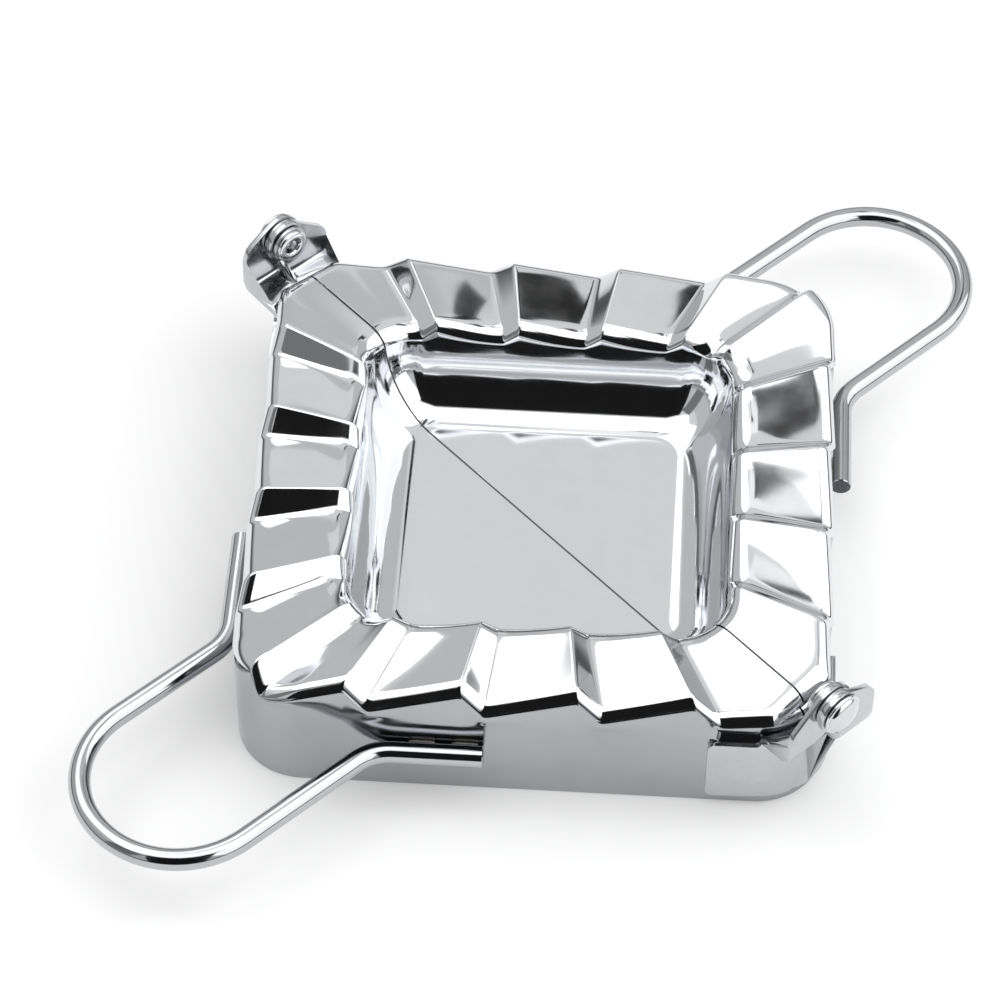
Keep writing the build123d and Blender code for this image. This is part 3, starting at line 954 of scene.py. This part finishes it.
def rivetOutline(s):
    # From the tip of the dome over the head, the shank and the rolled end to the floor of the bore.
    top = s["headFrom"] + s["headThick"]
    e = s["headThick"] / 2
    turns = [radians(15 * i) for i in range(7)]
    outline = [(top + s["dome"] * cos(t), s["domeRadius"] * sin(t)) for t in turns]
    outline += arcPoints((top - e, s["headRadius"] - e), e, 0, 180, 8)
    outline.append((s["headFrom"], s["shankRadius"]))
    roll = s["rollRound"]
    outline.append((s["rollFrom"] + 2 * roll, s["shankRadius"]))
    outline += arcPoints((s["rollFrom"] + roll, s["rollRadius"] - roll), roll, 0, 180, 8)
    outline += arcPoints((s["rollFrom"] + roll, s["bore"] + roll), roll, 180, 270, 5)
    floor = s["rollFrom"] + s["boreDepth"]
    return outline + [(floor, s["bore"] * s["boreTaper"]), (floor + s["boreTip"], 0)]


def washerOutline(s, hole):
    e = s["edgeRound"]
    start, end = s["from"], s["from"] + s["thick"]
    outline = arcPoints((end - e, s["radius"] - e), e, 0, 90, 3)
    return outline + arcPoints((start + e, s["radius"] - e), e, 90, 180, 3) + [(start, hole), (end, hole)]


def turnOutline(name, outline, place, closed=False, steps=turnedSides):
    # Spins the outline of (place along the hinge line, radius) about that line.
    points, faces, rings = [], [], []
    for along, radius in outline:
        if radius == 0:
            rings.append([len(points)] * steps)
            points.append(place((along, 0, lugSizes["pivotHeight"])))
            continue
        rings.append([len(points) + i for i in range(steps)])
        for i in range(steps):
            angle = 2 * pi * i / steps
            height = lugSizes["pivotHeight"] + radius * sin(angle)
            points.append(place((along, radius * cos(angle), height)))
    for ring, following in zip(rings, rings[1:] + (rings[:1] if closed else [])):
        for i in range(steps):
            k = (i + 1) % steps
            # A point on the line itself stands for a whole ring and counts once in a face.
            faces.append(list(dict.fromkeys((ring[i], ring[k], following[k], following[i]))))
    mesh = makeMesh(name, points, faces, creases["turned"])
    turnOutwards(mesh)
    return mesh


for way, side in sideNames.items():
    place = hingePlacer(way)
    mesh = turnOutline("hingeRivet", rivetOutline(rivetSizes), place)
    rivet = addObject("hingeRivet_" + side, mesh)
    rivet.data.materials.append(metals["platedRivetSteel"])
    finishPiece(rivet, "a", "hinge_rivet_" + side)
    for node, washerSize in washerSizes.items():
        outline = washerOutline(washerSize, lugSizes["hole"])
        mesh = turnOutline("washer", outline, place, closed=True)
        washer = addObject(node.replace("_w", "W") + "_" + side, mesh)
        washer.data.materials.append(metals["stampedWasherSteel"])
        finishPiece(washer, "a", node + "_" + side)
print("rivets and washers made")


# The seam welds under the rim stay as they are modelled in the frame

for name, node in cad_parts.items():
    if name.startswith("seam_welds"):
        for slot in node.material_slots:
            slot.material = metals["heatTintAndShadeWeldMetal"]
print("seam welds finished")


# Floor, studio light and camera

stageSizes = {
    "floorWidth": 6.0, "floorColour": "#f4f4f4", "paleLift": 0.15,
    "roomDiffuse": 0.6, "skirting": 0.10, "walls": 0.64, "ceiling": 0.86,
    "wallsFrom": (3, 15), "ceilingFrom": (35.5, 40.5),  # elevations over which each one fades in
}


def makeCard(name, width, height, place, material):
    # A flat rectangle of the stage, with its middle at the place.
    w, h = width / 2, height / 2
    mesh = bpy.data.meshes.new(name)
    corners = [place @ Vector((x, y, 0)) for x, y in ((-w, -h), (w, -h), (w, h), (-w, h))]
    mesh.from_pydata(corners, [], [(0, 1, 2, 3)])
    mesh.materials.append(material)
    card = addObject(name, mesh)
    card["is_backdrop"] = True
    return card


def makeFloor(s):
    material = bpy.data.materials.new("matteWhiteSweep")
    tree = bareTree(material)
    paper = addNode(tree, "ShaderNodeBsdfDiffuse", {"Color": toLinear(s["floorColour"])})
    glow = addNode(tree, "ShaderNodeEmission", {"Strength": 1.0})
    values = dict(addNode(tree, "ShaderNodeLightPath").outputs.items())
    addChain(tree, values, (
        ("direct", "MAXIMUM", "Is Camera Ray", "Is Transmission Ray"),
        ("lifted", "MAXIMUM", "direct", "Is Glossy Ray"),
        ("share", "MULTIPLY", "lifted", s["paleLift"]),
    ))
    mixed = addNode(tree, "ShaderNodeMixShader", links={0: values["share"], 1: paper, 2: glow})
    addNode(tree, "ShaderNodeOutputMaterial", links={"Surface": mixed})
    makeCard("floor", s["floorWidth"], s["floorWidth"], Matrix.Identity(4), material)


def makeRoom(s):
    # The room is plain white to the eye and dimmer as a light. The metal sees its pale ceiling, its
    # greyer walls and the dark foot of the walls, with soft changes between them.
    world = bpy.data.worlds.new("room")
    tree = bareTree(world)
    # The world's Generated coordinate is the direction of the ray.
    values = dict(addNode(tree, "ShaderNodeLightPath").outputs.items())
    toward = addNode(tree, "ShaderNodeTexCoord").outputs["Generated"]
    upward = addNode(tree, "ShaderNodeSeparateXYZ", links={0: toward}).outputs["Z"]
    for name, (low, high), rise in (
        ("wallRise", s["wallsFrom"], s["walls"] - s["skirting"]),
        ("ceilingRise", s["ceilingFrom"], s["ceiling"] - s["walls"]),
    ):
        settings = {
            "interpolation_type": "SMOOTHSTEP", "To Min": 0.0, "To Max": rise,
            "From Min": sin(radians(low)), "From Max": sin(radians(high)),
        }
        values[name] = addNode(tree, "ShaderNodeMapRange", settings, {"Value": upward})
    addChain(tree, values, (
        ("reflected", "MAXIMUM", "Is Glossy Ray", "Is Transmission Ray"),
        ("wallShade", "ADD", s["skirting"], "wallRise"),
        ("shade", "ADD", "wallShade", "ceilingRise"),
    ))
    values["strength"] = addNode(
        tree, "ShaderNodeMapRange", {"To Min": s["roomDiffuse"]},
        {"Value": values["reflected"], "To Max": values["shade"]},
    )
    addChain(tree, values, (("shown", "MAXIMUM", "strength", "Is Camera Ray"),))
    settings = {"Color": (1, 1, 1, 1)}
    light = addNode(tree, "ShaderNodeBackground", settings, {"Strength": values["shown"]})
    addNode(tree, "ShaderNodeOutputWorld", links={"Surface": light})
    bpy.context.scene.world = world


# Each card's place is its azimuth and elevation in degrees and its distance in metres, with
# azimuth 0 at +X and 90 at +Y. Its size is in metres, and a spin turns it in its own plane.
softboxes = {
    "overhead": {"place": (-92, 85.7, 0.75), "size": (1.10, 0.51), "glow": 1.2},
    "right": {"place": (-22, 34, 0.80), "size": (1.00, 0.72), "glow": 1.2},
    "backRight": {"place": (24, 40, 0.82), "size": (0.37, 0.87), "glow": 1.2},
    "backLeft": {"place": (138, 57, 0.80), "size": (0.66, 0.41), "glow": 1.2},
}
# Flags are seen only in the metal: black velvet round the camera, and small dark and pale cards.
flags = {
    "cameraSide": {"place": (-92, 27, 0.70), "size": (0.60, 1.05), "glow": 0.01},
    "leftFront": {"place": (-140, 32, 0.70), "size": (0.26, 0.50), "glow": 0.22},
    "backCard": {"place": (70.5, 42.7, 0.60), "size": (0.15, 0.040), "spin": -13, "glow": 0.02},
    "lowCard": {"place": (76.8, 38.5, 0.634), "size": (0.055, 0.026), "glow": 0.05},
    "topCard": {"place": (61.2, 68.6, 0.577), "size": (0.032, 0.155), "spin": 22, "glow": 0.06},
    "edgeCard": {"place": (78.9, 71.9, 0.569), "size": (0.016, 0.12), "spin": -9, "glow": 0.02},
    "topPale": {"place": (80.4, 68.3, 0.733), "size": (0.122, 0.18), "glow": 1.2},
    "backPale": {"place": (83, 26, 0.80), "size": (0.40, 0.20), "glow": 0.85},
}


def facing(card):
    # Where the card stands and how it is turned to look at the mold.
    azimuth, elevation, distance = card["place"]
    a, e = radians(azimuth), radians(elevation)
    place = Vector((cos(a) * cos(e), sin(a) * cos(e), sin(e))) * distance
    spin = Matrix.Rotation(radians(card.get("spin", 0)), 3, "Z")
    turned = place.to_track_quat("Z", "Y").to_matrix() @ spin
    return Matrix.Translation(place) @ turned.to_4x4()


def makeSoftbox(name, card):
    lamp = bpy.data.lights.new(name, "AREA")
    lamp.shape = "RECTANGLE"
    lamp.size, lamp.size_y = card["size"]
    lamp.energy = card["glow"] * pi * card["size"][0] * card["size"][1]
    placed = addObject(name, lamp)
    placed.matrix_world = facing(card)
    placed.visible_camera = False


def makeFlag(name, card):
    material = bpy.data.materials.new(name + "Cloth")
    tree = bareTree(material)
    cloth = addNode(tree, "ShaderNodeEmission", {"Strength": card["glow"]})
    addNode(tree, "ShaderNodeOutputMaterial", links={"Surface": cloth})
    flag = makeCard(name, *card["size"], facing(card), material)
    for ray in ("camera", "diffuse", "transmission", "volume_scatter", "shadow"):
        setattr(flag, "visible_" + ray, False)


makeFloor(stageSizes)
makeRoom(stageSizes)
for name, card in softboxes.items():
    makeSoftbox(name + "Softbox", card)
for name, card in flags.items():
    makeFlag(name + "Flag", card)

cameraSizes = {
    "place": (12.0244, -356.5632, 434.4498), "target": (-5.637, -5.324, 19.2), "roll": 0.69,
    "lens": 142.39, "clipStart": 10,
}


def makeCamera(s):
    data = bpy.data.cameras.new("camera")
    data.lens = s["lens"]
    data.clip_start = s["clipStart"] * mm
    camera = addObject("camera", data)
    place = Vector(s["place"])
    look = (Vector(s["target"]) - place).to_track_quat("-Z", "Y").to_matrix()
    turned = look @ Matrix.Rotation(radians(s["roll"]), 3, "Z")
    camera.matrix_world = Matrix.Translation(place * mm) @ turned.to_4x4()
    bpy.context.scene.camera = camera


makeCamera(cameraSizes)
bpy.context.scene.view_settings.view_transform = "Standard"
print("stage, light and camera made")

bpy.context.view_layer.update()
boxes = {"cad": cadBox, "visual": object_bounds()}
{k: [[float(v) for v in corner] for corner in box] for k, box in boxes.items()}
